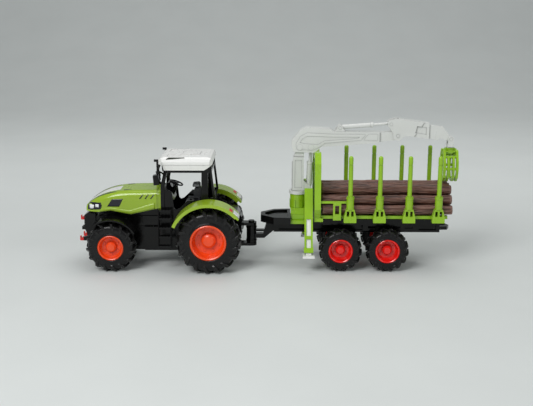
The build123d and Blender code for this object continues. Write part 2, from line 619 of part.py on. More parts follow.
# ---------------------------------------------------------------- wagon
def wagon_chassis():
    """Spine beam, tapered front deck, axle hangers, saddles and tail tow plate."""
    spine = block(8, 200, -10, 10, 38.7, 50)
    flute = [block(14, 196, *sorted((s * 7.5, s * 11)), 41.2, 47.5) for s in (-1, 1)]
    deck = slab([(-7, -7), (8, -20), (27.4, -22), (27.4, 22), (8, 20), (-7, 7)], 50, 58.4)
    deck -= slab([(-2, -4), (9, -15), (24, -17), (24, 17), (9, 15), (-2, 4)], 56.4, 59)
    parts = [cut(spine, flute), deck]
    for x in WAGON_AXLES:
        hanger = [(x - 12, 50), (x + 12, 50), (x + 4.8, 19.6), (x - 4.8, 19.6)]
        parts += [prism(hanger, *sorted((s * 9, s * 14.5))) for s in (-1, 1)]
    walk = [(94, 49), (127, 49), (119, 43), (102, 43)]
    parts += [prism(walk, *sorted((s * 9, s * 13))) for s in (-1, 1)]
    parts += [block(x - 5, x + 5, -20, 20, 50, 57) for x in BOLSTERS]
    parts += [block(54, 61, -20, 20, 50, 56)]
    boards = [block(110, 174, *sorted((s * 19.4, s * 22)), 43.4, 54) for s in (-1, 1)]
    slots = [block(116 + 14 * i, 125 + 14 * i, -23, 23, 46.4, 49) for i in range(4)]
    boards = [cut(b, [s - block(100, 180, -19, 19, 40, 50) for s in slots]) for b in boards]
    boards += [block(64.2, 203, *sorted((s * 18.6, s * 22.6)), 50.6, 57) for s in (-1, 1)]
    plate = slab([(196, -8), (209, -7), (212, 0), (209, 7), (196, 8)], 41, 45)
    whole = join(parts + boards + [plate])
    bores = [across(x, WAGON_TYRE["radius"], 2.0 + RUN_GAP, -16, 16) for x in WAGON_AXLES]
    return cut(whole, bores + [upright(206, 0, 2.0, 40, 46)])


def drawbar():
    side = [(-15, 29.4), (-3, 29.4), (8, 38.7), (8, 50), (0, 50), (-4.4, 34.3), (-15, 34.3)]
    parts = [upright(HITCH_X, 0, 5.75, 24, 44.5), prism(side, -4, 4)]
    parts += [prism([(-15, 37), (-2, 37), (-2, 39), (-15, 39)], -3, 3)]
    parts += [upright(HITCH_X, 0, 6.4, z, z + 1.6) for z in (25.5, 41.4)]
    return join(parts) - upright(HITCH_X, 0, 2.0 + RUN_GAP, 23, 45)


def bed_frame():
    """Side rails, bolsters, slotted stake brackets with cups, and the front guard."""
    parts = [block(61, 205, *sorted((s * 22, s * 27)), 59, 62.5) for s in (-1, 1)]
    parts += [block(54, 61, -30, 30, 56, 60), block(60, 64, -30, 30, 56, 60)]
    for x in BOLSTERS:
        parts.append(block(x - 4.5, x + 4.5, -32, 32, 57, BED_TOP))
        for s in (-1, 1):
            side = [(x - 7, 57), (x + 7, 57), (x + 7, 63), (x + 4.6, 72.6), (x - 4.6, 72.6), (x - 7, 63)]
            bracket = prism(side, *sorted((s * 31.3, s * 38.2)))
            for d in (-1, 1):
                low, high = sorted((d * 1.1, d * 3.9))
                bracket -= block(x + low, x + high, -40, 40, 64.4, 70.4)
            cup = upright(x, s * STAKE_Y, 4.2, 72.4, 87) + upright(x, s * STAKE_Y, 4.6, 84.2, 86)
            cup -= upright(x, s * STAKE_Y, STAKE_R + SEAT_GAP, 74, 88)
            parts += [bracket, cup]
    for s in (-1, 1):
        low, high = sorted((s * 32.0, s * 34.4))
        guard = block(61, 90.4, low, high, 78.6, 81) + block(75, 84, low, high, 60, 80)
        guard += block(75, 84, *sorted((s * 26, s * 34.4)), 59, 62.5)
        guard -= block(77.2, 81.8, -40, 40, 66, 76)
        parts.append(guard)
    return join(parts)


def stakes():
    posts = []
    for x in BOLSTERS:
        for s in (-1, 1):
            post = upright(x, s * STAKE_Y, STAKE_R, 74, STAKE_TOP - STAKE_R)
            post += Pos(x, s * STAKE_Y, STAKE_TOP - STAKE_R) * Sphere(STAKE_R)
            ring = upright(x, s * STAKE_Y, 4, 122.4, 123.6) - upright(x, s * STAKE_Y, 2.1, 122, 124)
            posts.append(post - ring)
    return solids_of(posts)


def headboard():
    """Eight-sided rimmed board, notched on top so the boom can sweep over it."""
    edge = [(-30, 60), (30, 60), (37, 72), (37, 124), (31, 135.5), (23, 135.5), (12, 128)]
    edge += [(-12, 128), (-23, 135.5), (-31, 135.5), (-37, 124), (-37, 72)]
    inner = [(-28, 63.5), (28, 63.5), (33.6, 73), (33.6, 123), (29.6, 131.6), (24.2, 131.6), (13.2, 124.4)]
    inner += [(-13.2, 124.4), (-24.2, 131.6), (-29.6, 131.6), (-33.6, 123), (-33.6, 73)]
    board = panel(edge, 54, 61) - panel(inner, 53, 56) - panel(inner, 59, 62)
    ribs = [block(55, 56.6, y - 1, y + 1, 63, 125) for y in (-22, -11, 0, 11, 22)]
    return join([board] + ribs)


def logs():
    """Twelve trimmed logs in rows of five, four and three."""
    rise = sqrt((2 * LOG_R) ** 2 - (LOG_PITCH / 2) ** 2)
    trunks = []
    for row, count in enumerate((5, 4, 3)):
        for i in range(count):
            y = (i - (count - 1) / 2) * LOG_PITCH
            z = BED_TOP + LOG_R + rise * row
            trunks.append(rod((LOG_ENDS[0], y, z), (LOG_ENDS[1], y, z), LOG_R - 0.03))
    return solids_of(trunks)


# ---------------------------------------------------------------- crane
def leg_plane(side):
    """Plane at the top of an outrigger leg, z running down the leg."""
    way = Vector(0, side * (LEG_FOOT[0] - LEG_TOP[0]), LEG_FOOT[1] - LEG_TOP[1])
    return Plane(origin=(47.6, side * LEG_TOP[0], LEG_TOP[1]), x_dir=(1, 0, 0), z_dir=way)


LEG_LENGTH = sqrt((LEG_FOOT[0] - LEG_TOP[0]) ** 2 + (LEG_FOOT[1] - LEG_TOP[1]) ** 2)


def along_leg(side, wide, deep, start, end, x=0.0):
    bar = Pos(x, 0, (start + end) / 2) * Box(wide, deep, end - start)
    return leg_plane(side) * bar


def crane_base():
    """Ribbed pedestal, slew drum, cross beam and the two outrigger leg tubes."""
    foot = block(27.6, 47, -17, 17, 50, 54) + block(29.5, 45, -13, 13, 54, 60)
    flare = loft(
        [
            Pos(SLEW_X, 0, 60) * Rectangle(15.5, 24),
            Pos(SLEW_X, 0, 67) * Rectangle(17.6, 20),
        ]
    )
    ribs = [block(27.9, 30, y - 1, y + 1, 54, 66) for y in (-10, -5, 0, 5, 10)]
    drum = upright(SLEW_X, 0, 9.2, 66, 82.8)
    fins = []
    for i in range(8):
        fin = Pos(9.0, 0, 0) * Box(2.0, 1.8, 9)
        fins.append(Pos(SLEW_X, 0, 71) * Rot(0, 0, 45 * i + 22.5) * fin)
    beam = block(43.1, 52.1, -30, 30, 52, 66)
    web = panel([(-21, 66), (21, 66), (14, 72), (-14, 72)], 44, 51)
    legs = [along_leg(s, 9.3, 7.6, 0, LEG_LENGTH + 0.2) for s in (-1, 1)]
    legs += [along_leg(s, 10.6, 8.4, LEG_LENGTH - 6, LEG_LENGTH - 0.2) for s in (-1, 1)]
    base = join([foot, flare, drum, beam, web] + ribs + fins + legs)
    tools = [upright(SLEW_X, 0, 4.0 + RUN_GAP, 70, 84)]
    for s in (-1, 1):
        tools.append(along_leg(s, 6.4, 4.7, 14, LEG_LENGTH + 2))
        for z0, z1 in ((41.6, 59.6), (28.6, 38.0)):
            start = (LEG_TOP[1] - z1) / cos(radians(LEG_LEAN))
            end = (LEG_TOP[1] - z0) / cos(radians(LEG_LEAN))
            tools.append(along_leg(s, 5.2, 20, start, end))
    return cut(base, tools)


def outrigger_leg(side):
    """White inner leg that slides out of the leg tube, with its foot pad."""
    inner = along_leg(side, 6.2, 4.5, 34, LEG_LENGTH + 3.2)
    y = side * (LEG_FOOT[0] + 0.4)
    return inner + block(41.0, 54.2, y - 6.2, y + 6.2, 18.6, 21.2)


def crane_column():
    """Slewing column: flange on the drum, square post, boom tongue, cylinder lugs."""
    parts = [upright(SLEW_X, 0, 10.4, 83.0, 86.6), upright(SLEW_X, 0, 4.0, 71, 84)]
    post = [(29.6, 86), (42.6, 86), (42.2, 126), (30.2, 126)]
    parts.append(prism(post, -6.6, 6.6))
    parts.append(prism([(31, 125), (42.6, 125), (42.4, 137), (33.2, 137)], -4.2, 4.2))
    parts.append(across(*BOOM_PIN, 4.9, -4.2, 4.2))
    for s in (-1, 1):
        low, high = sorted((s * 3.9, s * 6.2))
        lug = prism([(41, 87), (48, 86.4), (50.6, 88), (50.6, 92.6), (47, 94), (41, 100)], low, high)
        parts.append(lug)
    parts += [across(*LIFT_LOW, 1.5, -6.2, 6.2)]
    parts += [block(28.6, 31, -2, 2, 86, 120)]
    panels = [prism([(31.8, 90), (40.6, 90), (40.2, 122.6), (32.2, 122.6)], *sorted((s * 6.0, s * 8))) for s in (-1, 1)]
    return cut(join(parts), panels + [across(*BOOM_PIN, 1.6 + RUN_GAP, -5, 5)])


def main_boom():
    """Downward-open boom channel, with a tongue for the jib and a cylinder lug."""
    top = [(28.3, 138.9), (28.9, 145.9), (37.8, 156.6), (45.3, 160.4), (71.8, 158.6), (76, 155.4)]
    outline = [(30.8, 131.9), (54.2, 131.3), (63, 138.3), (128, 142.8), (128, 155.0)] + top[::-1]
    shell = prism(outline, -6.5, 6.5)
    core = [(26, 128), (60, 128), (66, 136), (122, 140), (122, 152.2), (76, 152.6), (70, 155.6)]
    core += [(46, 157.2), (39.4, 153.6), (31.6, 144.6), (26, 141)]
    shell -= prism(core, -4.7, 4.7)
    floor = prism([(70, 138.6), (128, 142.8), (128, 145), (70, 141)], -6.5, 6.5)
    tip = prism([(120, 142.4), (148, 145.9), (148.7, 156.0), (128, 154.4), (120, 154.2)], -4.2, 4.2)
    tip += across(*JIB_PIN, 5.1, -4.2, 4.2)
    lug = tongue([(77, 154.6), (89.4, 154.6), (86.2, 160), (80, 160)], FOLD_LOW, 3.1, -6.1, 6.1)
    lug -= block(78.6, 96, -3.9, 3.9, 155.6, 164)
    pins = [across(*BOOM_PIN, 1.6, -7.1, 7.1), across(*LIFT_HIGH, 1.4, -7.1, 7.1)]
    pins += [across(*FOLD_LOW, 1.5, -6.6, 6.6)]
    pads = []
    for x, z in (BOOM_PIN, LIFT_HIGH):
        for s in (-1, 1):
            pads.append(across(x, z, 3.2, *sorted((s * 5.4, s * 7.2))))
    long = [(33.4, 141.6), (38.4, 150.2), (45.8, 154.0), (74, 152.6), (112, 152.4), (107, 146.0)]
    long += [(66, 142.4), (60.4, 138.2), (52.6, 134.6), (34.4, 135.2)]
    short = [(110.4, 146.2), (115.4, 152.6), (125.6, 152.6), (125.6, 145.6)]
    raised = [prism(f, *sorted((s * 6.0, s * 7.0))) for f in (long, short) for s in (-1, 1)]
    groove = [(37.4, 143), (40.4, 147.6), (46.4, 150.6), (74, 149.6), (105.6, 149.6), (103.6, 147.6), (66, 145)]
    groove += [(58, 140.6), (42, 141.6)]
    sunk = [prism(groove, *sorted((s * 6.5, s * 8))) for s in (-1, 1)]
    boom = cut(join([shell, floor, tip, lug] + raised), sunk)
    boom = join([boom] + pins + pads)
    return boom - across(*JIB_PIN, 1.6 + RUN_GAP, -5, 5)


def cylinder_frame(low, high):
    """Plane at the lower pin of a cylinder, z running towards its upper pin."""
    way = Vector(high[0] - low[0], 0, high[1] - low[1])
    return Plane(origin=(low[0], 0, low[1]), x_dir=(0, 1, 0), z_dir=way)


def barrel(low, high, radius, length, bore):
    """Cylinder barrel with a bottom eye, end collar and hose stub."""
    here = cylinder_frame(low, high)
    up = (Align.CENTER, Align.CENTER, Align.MIN)
    tube = Pos(0, 0, 2.2) * Cylinder(radius, length - 2.2, align=up)
    collar = Pos(0, 0, length - 3) * Cylinder(radius + 0.35, 3, align=up)
    eye = Rot(0, 90, 0) * Cylinder(2.9, 7.2)
    body = join([tube, collar, eye]) - Rot(0, 90, 0) * Cylinder(1.5 + RUN_GAP, 9)
    body -= Pos(0, 0, 5) * Cylinder(bore + RUN_GAP, length, align=up)
    return here * body


def piston(low, high, radius, start, hole):
    """Cylinder rod with its top eye; the eye is loose on its pin."""
    here = cylinder_frame(low, high)
    reach = sqrt((high[0] - low[0]) ** 2 + (high[1] - low[1]) ** 2)
    up = (Align.CENTER, Align.CENTER, Align.MIN)
    bar = Pos(0, 0, start) * Cylinder(radius, reach - 2.2 - start, align=up)
    eye = Pos(0, 0, reach) * Rot(0, 90, 0) * Cylinder(hole + 1.1, 7.0)
    return here * (bar + eye - Pos(0, 0, reach) * Rot(0, 90, 0) * Cylinder(hole, 9))


def lift_barrel():
    return barrel(LIFT_LOW, LIFT_HIGH, 3.3, 30, 1.8)


def lift_rod():
    return piston(LIFT_LOW, LIFT_HIGH, 1.8, 9, 2.1)


def jib_barrel():
    return barrel(FOLD_LOW, FOLD_HIGH, 2.6, 38, 1.6)


def jib_rod():
    return piston(FOLD_LOW, FOLD_HIGH, 1.6, 14.5, 2.1)


def jib():
    """Box jib with root cheeks outside the boom tongue and a ringed tip."""
    outline = [(143.2, 153.6), (137.4, 162.2), (137.0, 165.6), (139.6, 168.2), (146.5, 170.3), (183.8, 165.4)]
    outline += [(184.7, 162.7), (199.9, 161), (207.6, 150.2), (206, 147.4), (197.2, 147.8), (194.3, 145)]
    outline += [(188.6, 146.4), (162.6, 150.3), (156.5, 150.2), (150, 145.4), (145, 146.6)]
    body = prism(outline, -6.4, 6.4)
    body += across(*JIB_PIN, 5.6, -6.4, 6.4)
    slot = block(120, 158, -4.6, 4.6, 130, 175) - prism([(152.6, 160.6), (160, 158), (160, 180), (146, 180)], -5, 5)
    slim = [block(184, 215, *sorted((s * 3.3, s * 9)), 140, 170) for s in (-1, 1)]
    slim += [prism([(160, 140), (184, 140), (184, 175)], *sorted((s * 5.2, s * 9))) for s in (-1, 1)]
    window = [prism([(168, 154), (181, 152), (181, 160.4), (170, 162)], *sorted((s * 4.6, s * 9))) for s in (-1, 1)]
    body = cut(body, [slot] + slim + window)
    tip = across(*JIB_TIP, 3.4, -3.3, 3.3)
    neck = prism([(197, 148), (200, 160), (207.4, 150.2), (209, 150.2), (209, 144)], -3.3, 3.3)
    pins = [across(*JIB_PIN, 1.6, -7.2, 7.2), across(*FOLD_HIGH, 1.4, -7.0, 7.0)]
    body = join([body, tip, neck] + pins)
    return body - across(*JIB_TIP, 1.5 + RUN_GAP, -5, 5)


def grapple_link():
    """Fork hung on the jib tip, carrying the rotator spindle."""
    x, z = JIB_TIP
    parts = []
    for s in (-1, 1):
        low, high = sorted((s * 3.7, s * 5.2))
        cheek = block(x - 3, x + 3, low, high, 138.4, z) + across(x, z, 3.0, low, high)
        parts.append(cheek)
    parts += [across(x, z, 1.5, -5.8, 5.8), block(x - 3.4, x + 3.4, -5.2, 5.2, 137.6, 141.2)]
    parts += [upright(x, 0, 1.8, 133.0, 138), upright(x, 0, 4.2, 136.9, 138)]
    return join(parts)


def grapple_head():
    """Trapezoid rotator body with the two hinge rods the claws hang from."""
    x = JIB_TIP[0]
    side = [(x - 5.4, 136.4), (x + 5.4, 136.4), (x + 8.5, 131), (x + 8.5, 128.4), (x + 5.4, 128.4), (x + 4.2, 130.6)]
    side += [(x - 4.2, 130.6), (x - 5.4, 128.4), (x - 8.5, 128.4), (x - 8.5, 131)]
    parts = [prism(side, -2.4, 2.4), upright(x, 0, 4.6, 133.6, 136.6)]
    for s in (-1, 1):
        parts.append(rod((x - 8.5, s * CLAW_Y, CLAW_Z), (x + 8.5, s * CLAW_Y, CLAW_Z), 1.2))
        parts.append(block(x - 2.6, x + 2.6, *sorted((s * 2.0, s * 6.4)), 131.0, 134.4))
    return join(parts) - upright(x, 0, 1.8 + RUN_GAP, 129, 137)


def claw():
    """Right-hand claw: two hinged outer tines and two inner ones tied by cross bars."""
    x = JIB_TIP[0]
    outer = [(5.0, 134.9), (8.2, 133.6), (13.2, 122), (14.6, 112), (12.4, 103.6), (6.6, 98.6), (0.5, 98.0)]
    inner = [(0.5, 100.2), (5.4, 101.8), (9.6, 106.4), (10.8, 112.6), (9.2, 121), (5.4, 130.4), (3.6, 130.9), (3.2, 134)]
    reach = block(x - 20, x + 20, -1, 20, 90, 128.4)
    parts = [panel(outer + inner, x + a, x + b) for a, b in ((-8.5, -5.8), (5.8, 8.5))]
    parts += [panel(outer + inner, x + a, x + b) & reach for a, b in ((-4.2, -1.8), (1.8, 4.2))]
    parts += [rod((x - 8.4, y, z), (x + 8.4, y, z), r) for y, z, r in ((9.2, 127.0, 1.5), (12.6, 114.0, 1.6))]
    bore = rod((x - 10, CLAW_Y, CLAW_Z), (x + 10, CLAW_Y, CLAW_Z), 1.2 + RUN_GAP)
    return cut(join(parts), [bore])


# ---------------------------------------------------------------- build
def wheel_pair(part):
    return Compound([part.solid(), other_side(part).solid()])


def axle_set(x):
    wheels = wagon_rim(x)
    rod_part = across(x, WAGON_TYRE["radius"], 2.0, -36, 36)
    return Compound([wheels.solid(), other_side(wheels).solid(), rod_part.solid()])


NODES = {
    "chassis_tub": chassis_tub,
    "engine_block": engine_block,
    "hood": hood,
    "lamp_lenses": lamp_lenses,
    "front_weight": front_weight,
    "front_hooks": front_hooks,
    "cab_body": cab_body,
    "cab_frame": cab_frame,
    "cab_roof": cab_roof,
    "driver_seat": driver_seat,
    "steering_wheel": steering_wheel,
    "rear_fenders": lambda: pair(fender()),
    "mirrors": lambda: pair(mirror_arm()),
    "exhaust_stack": exhaust_stack,
    "step_ladders": lambda: pair(step_ladder()),
    "rear_hitch": rear_hitch,
    "battery_door": battery_door,
    "battery_pack": battery_pack,
    "circuit_board": circuit_board,
    "drive_motor": drive_motor,
    "motor_pinion": motor_pinion,
    "idler_gear": idler_gear,
    "axle_gear": axle_gear,
    "power_switch": power_switch,
    "chassis_screws": chassis_screws,
    "front_axle_beam": front_axle_beam,
    "knuckle_right": knuckle,
    "knuckle_left": lambda: other_side(knuckle()),
    "tie_rod": tie_rod,
    "front_rim_right": front_rim,
    "front_rim_left": lambda: other_side(front_rim()),
    "front_tyre_right": lambda: tyre(*FRONT_AXLE, **FRONT_TYRE),
    "front_tyre_left": lambda: other_side(tyre(*FRONT_AXLE, **FRONT_TYRE)),
    "rear_rims": lambda: wheel_pair(rear_rim()),
    "rear_tyres": lambda: wheel_pair(tyre(*REAR_AXLE, **REAR_TYRE)),
    "rear_axle_shaft": rear_axle_shaft,
    "wagon_chassis": wagon_chassis,
    "drawbar": drawbar,
    "bed_frame": bed_frame,
    "stakes": stakes,
    "headboard": headboard,
    "logs": logs,
    "crane_base": crane_base,
    "crane_column": crane_column,
    "main_boom": main_boom,
    "lift_barrel": lift_barrel,
    "lift_rod": lift_rod,
    "jib": jib,
    "jib_barrel": jib_barrel,
    "jib_rod": jib_rod,
    "grapple_link": grapple_link,
    "grapple_head": grapple_head,
    "claw_right": claw,
    "claw_left": lambda: other_side(claw()),
    "outrigger_leg_right": lambda: outrigger_leg(1),
    "outrigger_leg_left": lambda: outrigger_leg(-1),
    "wagon_front_rims": lambda: axle_set(WAGON_AXLES[0]),
    "wagon_rear_rims": lambda: axle_set(WAGON_AXLES[1]),
    "wagon_front_tyres": lambda: wheel_pair(tyre(WAGON_AXLES[0], WAGON_TYRE["radius"], **WAGON_TYRE)),
    "wagon_rear_tyres": lambda: wheel_pair(tyre(WAGON_AXLES[1], WAGON_TYRE["radius"], **WAGON_TYRE)),
}

if __name__ == "__main__":
    for name, make in NODES.items():
        export_step(make(), f"parts/{name}.step")
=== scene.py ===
"""Looks of the toy tractor with its timber wagon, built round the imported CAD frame."""

import json
import math

import bmesh
import bpy
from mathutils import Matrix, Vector, noise
from mathutils.bvhtree import BVHTree


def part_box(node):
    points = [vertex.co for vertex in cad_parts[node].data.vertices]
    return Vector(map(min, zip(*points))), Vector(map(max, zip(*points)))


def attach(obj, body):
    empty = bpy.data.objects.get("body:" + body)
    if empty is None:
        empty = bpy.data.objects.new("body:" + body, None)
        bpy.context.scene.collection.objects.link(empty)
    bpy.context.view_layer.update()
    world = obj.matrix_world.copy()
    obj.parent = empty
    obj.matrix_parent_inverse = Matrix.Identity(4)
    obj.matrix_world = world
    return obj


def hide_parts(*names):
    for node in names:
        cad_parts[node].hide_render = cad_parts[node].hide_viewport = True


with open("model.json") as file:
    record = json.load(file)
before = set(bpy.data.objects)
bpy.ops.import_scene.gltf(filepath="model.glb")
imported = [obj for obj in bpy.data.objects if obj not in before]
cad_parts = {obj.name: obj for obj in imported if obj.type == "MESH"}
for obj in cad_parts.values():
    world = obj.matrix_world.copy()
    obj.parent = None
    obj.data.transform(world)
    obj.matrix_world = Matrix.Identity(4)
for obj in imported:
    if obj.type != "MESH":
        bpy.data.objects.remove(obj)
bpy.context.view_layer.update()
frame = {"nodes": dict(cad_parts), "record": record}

# Sizes in millimetres of the row frame, unless a comment says otherwise.
MM = 0.001
FRONT_TYRE = {"radius": 28.5, "rim": 14.6, "width": 19, "lugs": 15, "lug": 2.6, "slant": 0.30}
REAR_TYRE = {"radius": 37.0, "rim": 20.5, "width": 24, "lugs": 17, "lug": 3.2, "slant": 0.27}
WAGON_TYRE = {"radius": 24.5, "rim": 13.8, "width": 18, "lugs": 15, "lug": 2.0, "slant": 0.30}
FRONT_TRACK, REAR_TRACK, WAGON_TRACK = 36.5, 42, 33  # tyre middle to the toy's middle plane
LOG_R, LOG_PITCH, LOG_ROWS, LOG_GAP = 6.0, 12.4, (5, 4, 3), 0.03
ABOVE, BESIDE = 120, 40  # height and side distance the hood's guide points start from
REAR_AXLE = (-65, 37)  # x and z
FENDER_INSIDE, FENDER_WIDTH, FENDER_GUIDE = 28, 25.5, 60  # inner edge, width, guide radius
ROOF_SIDE = 27.24  # roof side wall, and the dark plate in its notch


# ---------------------------------------------------------------- materials
def linear(r, g, b):
    """Display colour, 0 to 255, as linear RGBA."""
    out = []
    for c in (r, g, b):
        c /= 255
        out.append(c / 12.92 if c <= 0.04045 else ((c + 0.055) / 1.055) ** 2.4)
    return (*out, 1.0)


def scaled(colour, k):
    return tuple(min(1.0, c * k) for c in colour[:3]) + (1.0,)


class Nodes:
    """A small wrapper that adds shader nodes and links them."""

    def __init__(self, name):
        self.mat = bpy.data.materials.new(name)
        self.mat.use_nodes = True
        self.tree = self.mat.node_tree
        self.shader = self.tree.nodes["Principled BSDF"]
        self.coords = self.add("ShaderNodeTexCoord").outputs["Object"]

    def add(self, kind, inputs=None, **settings):
        node = self.tree.nodes.new(kind)
        for key, value in settings.items():
            setattr(node, key, value)
        for key, value in (inputs or {}).items():
            if isinstance(value, bpy.types.NodeSocket):
                self.tree.links.new(value, node.inputs[key])
            else:
                node.inputs[key].default_value = value
        return node

    def noise(self, scale, detail=3.0, rough=0.5, stretch=None, distortion=0.0):
        vector = self.coords
        if stretch:
            vector = self.add("ShaderNodeMapping", {"Vector": vector, "Scale": stretch}).outputs["Vector"]
        inputs = {"Vector": vector, "Scale": scale, "Detail": detail, "Roughness": rough}
        inputs["Distortion"] = distortion
        return self.add("ShaderNodeTexNoise", inputs).outputs["Fac"]

    def span(self, value, low, high, to_low=0.0, to_high=1.0):
        inputs = {"Value": value, "From Min": low, "From Max": high, "To Min": to_low, "To Max": to_high}
        return self.add("ShaderNodeMapRange", inputs).outputs["Result"]

    def mix(self, factor, a, b):
        node = self.add("ShaderNodeMix", data_type="RGBA")
        for socket, value in ((node.inputs[0], factor), (node.inputs[6], a), (node.inputs[7], b)):
            if isinstance(value, bpy.types.NodeSocket):
                self.tree.links.new(value, socket)
            else:
                socket.default_value = value
        return node.outputs[2]

    def maths(self, operation, a, b):
        return self.add("ShaderNodeMath", {0: a, 1: b}, operation=operation).outputs[0]

    def bump(self, height, strength, distance):
        inputs = {"Height": height, "Strength": strength, "Distance": distance}
        return self.add("ShaderNodeBump", inputs).outputs["Normal"]

    def edges(self, low, high):
        point = self.add("ShaderNodeNewGeometry").outputs["Pointiness"]
        return self.span(point, low, high)

    def groove_shade(self, distance):
        """Mask for painted shade: 1 in narrow grooves and inner corners of the same part, 0 on open faces.
        """
        node = self.add("ShaderNodeAmbientOcclusion", {"Distance": distance}, samples=8, only_local=True)
        return self.span(node.outputs["AO"], 0.55, 0.95, 1.0, 0.0)

    def feed(self, **sockets):
        for key, value in sockets.items():
            name = key.replace("_", " ")
            if isinstance(value, bpy.types.NodeSocket):
                self.tree.links.new(value, self.shader.inputs[name])
            else:
                self.shader.inputs[name].default_value = value
        return self.mat


def moulded(
    name,
    colour,
    rough,
    grain=0.35,
    drift=0.08,
    coat=0.0,
    edge_highlight=0.25,
    sheen_edge=1.35,
    shine=0.5,
    dusty=0.1,
    crease=0.35,
):
    """Injection-moulded plastic: flow marks, fine grain, a painted highlight on convex edges, painted shade
    in grooves and inner corners, a little dust.
    """
    n = Nodes(name)
    flow = n.noise(38, 4.0, 0.55, (0.6, 1.0, 1.6), 0.4)
    tone = n.mix(n.span(flow, 0.3, 0.7), scaled(colour, 1 - drift), scaled(colour, 1 + drift))
    # Painted highlight: convex edges lighter than the base colour.
    tone = n.mix(n.maths("MULTIPLY", n.edges(0.52, 0.6), edge_highlight), tone, scaled(colour, sheen_edge))
    # Painted shade: grooves and inner corners darkened towards a quarter of the colour.
    tone = n.mix(n.maths("MULTIPLY", n.groove_shade(0.0022), crease), tone, scaled(colour, 0.25))
    dust = n.span(n.noise(240, 5.0, 0.7), 0.62, 0.78, 0.0, dusty)
    tone = n.mix(dust, tone, (0.5, 0.49, 0.46, 1))
    smears = n.span(n.noise(70, 3.0, 0.6, (1, 1, 0.5), 0.8), 0.35, 0.7, rough * 0.82, rough * 1.2)
    fine = n.noise(2600, 2.0, 0.5)
    soft = n.noise(160, 2.0, 0.5)
    height = n.maths("ADD", fine, n.maths("MULTIPLY", soft, 2.5))
    normal = n.bump(height, grain, 0.00006)
    n.shader.inputs["Specular IOR Level"].default_value = shine
    return n.feed(Base_Color=tone, Roughness=smears, Normal=normal, Coat_Weight=coat, Coat_Roughness=0.18)


def tyre_rubber(name):
    n = Nodes(name)
    base, grey = linear(7, 7, 8), linear(34, 33, 32)
    scuff = n.span(n.noise(120, 5.0, 0.65, None, 0.6), 0.5, 0.75)
    tone = n.mix(n.maths("MULTIPLY", scuff, 0.3), base, grey)
    # Painted highlight: convex lug edges lighter grey.
    tone = n.mix(n.maths("MULTIPLY", n.edges(0.51, 0.58), 0.4), tone, grey)
    rough = n.span(n.noise(90, 3.0, 0.5), 0.3, 0.7, 0.2, 0.38)
    height = n.maths("ADD", n.noise(1900, 3.0, 0.6), n.maths("MULTIPLY", n.noise(300, 2.0), 1.6))
    n.shader.inputs["Specular IOR Level"].default_value = 0.34
    return n.feed(Base_Color=tone, Roughness=rough, Normal=n.bump(height, 0.5, 0.00008))


def bark(name):
    """Moulded brown bark: long dark furrows, redder ridges, pale streaks and edges as painted highlights.
    """
    n = Nodes(name)
    long = n.noise(60, 6.0, 0.6, (0.35, 3.4, 3.4), 1.4)
    fine = n.noise(220, 5.0, 0.65, (0.25, 3.0, 3.0), 1.0)
    tone = n.mix(n.span(long, 0.36, 0.62), linear(44, 25, 20), linear(112, 72, 58))
    # Painted highlight: pale streaks along the log.
    tone = n.mix(n.span(fine, 0.5, 0.75, 0, 0.5), tone, linear(140, 104, 92))
    tone = n.mix(n.span(n.noise(16, 2.0), 0.4, 0.65, 0, 0.45), tone, linear(84, 46, 36))
    # Painted highlight: convex edges paler.
    tone = n.mix(n.maths("MULTIPLY", n.edges(0.505, 0.54), 0.45), tone, linear(150, 118, 106))
    height = n.maths("ADD", long, n.maths("MULTIPLY", fine, 0.6))
    rough = n.span(fine, 0.3, 0.7, 0.28, 0.5)
    return n.feed(Base_Color=tone, Roughness=rough, Normal=n.bump(height, 0.6, 0.0004))


def metal(name, colour, rough, axis):
    """Turned or drawn metal with fine lines along one axis."""
    n = Nodes(name)
    stretch = [1.0, 1.0, 1.0]
    stretch[axis] = 0.04
    lines = n.noise(2400, 3.0, 0.6, tuple(stretch))
    tone = n.mix(n.span(lines, 0.3, 0.7), scaled(colour, 0.85), scaled(colour, 1.1))
    tone = n.mix(n.span(n.noise(60, 3.0), 0.55, 0.75, 0, 0.3), tone, scaled(colour, 0.6))
    return n.feed(
        Base_Color=tone,
        Metallic=1.0,
        Roughness=n.span(lines, 0.3, 0.7, rough * 0.8, rough * 1.3),
        Normal=n.bump(lines, 0.2, 0.00004),
    )


def clear_lens(name):
    n = Nodes(name)
    flutes = n.add(
        "ShaderNodeTexWave", {"Vector": n.coords, "Scale": 520.0, "Distortion": 0.2}, bands_direction="Y"
    ).outputs["Fac"]
    tone = n.mix(flutes, linear(225, 230, 232), linear(250, 252, 252))
    return n.feed(Base_Color=tone, Roughness=0.08, Coat_Weight=0.6, Normal=n.bump(flutes, 0.3, 0.0002))


def printed(name, colour, other, scale, rough=0.28):
    """Printed foil sticker with a faint dot screen."""
    n = Nodes(name)
    screen = n.add("ShaderNodeTexVoronoi", {"Vector": n.coords, "Scale": scale}).outputs["Distance"]
    cloud = n.noise(45, 3.0, 0.6)
    tone = n.mix(n.span(cloud, 0.35, 0.65), colour, other)
    tone = n.mix(n.span(screen, 0.2, 0.6, 0, 0.12), tone, scaled(colour, 1.6))
    return n.feed(Base_Color=tone, Roughness=rough, Normal=n.bump(screen, 0.08, 0.00004))


